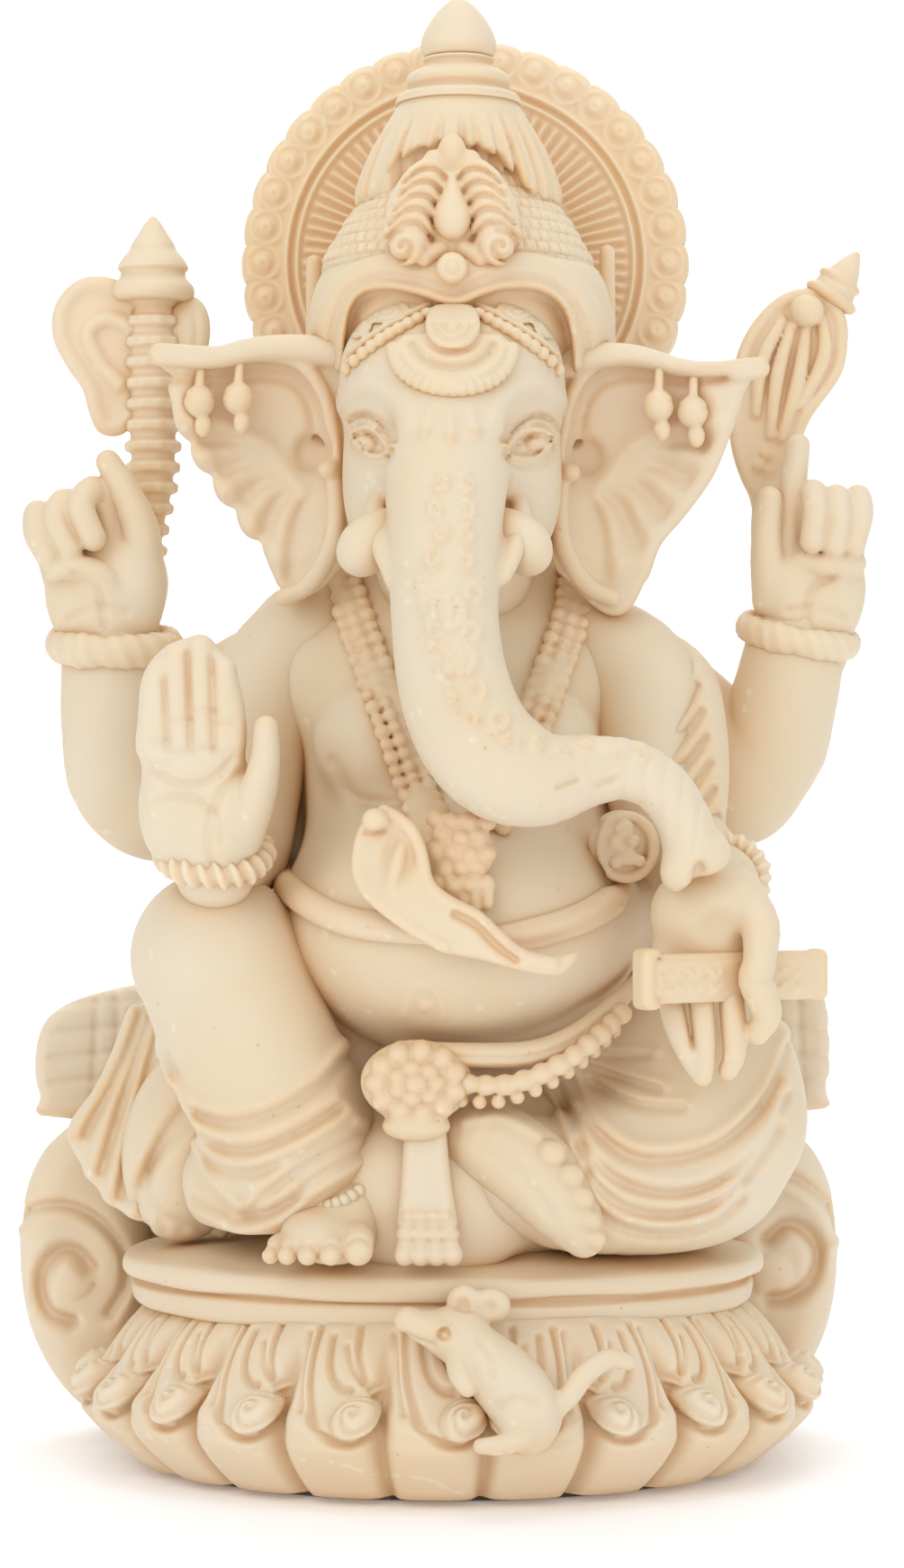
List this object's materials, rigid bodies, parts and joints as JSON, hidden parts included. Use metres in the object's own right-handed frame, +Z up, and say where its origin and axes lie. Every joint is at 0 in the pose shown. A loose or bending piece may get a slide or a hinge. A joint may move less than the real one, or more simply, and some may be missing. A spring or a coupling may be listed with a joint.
{
  "type": "seated elephant-headed idol",
  "caption": "Seated elephant-headed devotional idol with a halo, a tiered crown, hand attributes and a mouse, on a lotus base with scroll ends.",
  "frame": {"origin": "on the table under the middle of the whole idol's box", "axes": "+Z up; the idol faces -Y; +Y runs back through the halo; +X is the idol's own left"},
  "size_m": [0.1198, 0.0814, 0.2004],
  "materials": {
    "skin": "satin",
    "cloth": "satin",
    "ornament": "satin",
    "halo": "satin",
    "throne": "satin",
    "mouse": "satin",
    "felt": "matte"
  },
  "bodies": {
    "root": {"axe_head": "ornament", "axe_shaft": "ornament", "backrest": "throne", "crown_band": "ornament", "crown_canopy": "ornament", "crown_crest": "ornament", "crown_dome": "ornament", "crown_finial": "ornament", "crown_spire": "ornament", "dhoti_fan": "cloth", "felt_pad": "felt", "forehead_jewel": "ornament", "front_left_arm": "skin", "front_left_bangle": "ornament", "front_left_hand": "skin", "front_pleats": "cloth", "front_right_arm": "skin", "front_right_bangle": "ornament", "front_right_hand": "skin", "halo_disc": "halo", "halo_rim": "halo", "halo_stem": "halo", "head": "skin", "hips": "cloth", "left_ear": "skin", "left_foot": "skin", "left_inner_pendant": "ornament", "left_leg": "cloth", "left_outer_pendant": "ornament", "left_scroll": "throne", "left_tusk": "skin", "lotus_base": "throne", "manuscript": "ornament", "mouse": "mouse", "necklace": "ornament", "necklace_pendant": "ornament", "noose": "ornament", "noose_finial": "ornament", "rear_left_arm": "skin", "rear_left_bangle": "ornament", "rear_left_hand": "skin", "rear_right_arm": "skin", "rear_right_bangle": "ornament", "rear_right_hand": "skin", "right_anklet": "ornament", "right_ear": "skin", "right_foot": "skin", "right_inner_pendant": "ornament", "right_leg": "cloth", "right_outer_pendant": "ornament", "right_scroll": "throne", "right_tusk": "skin", "seat_slab": "throne", "shoulder_sash": "cloth", "snake_belt": "ornament", "snake_hood": "ornament", "throne_back": "throne", "torso": "skin", "waist_beads": "ornament", "waist_buckle": "ornament"}
  },
  "joints": []
}
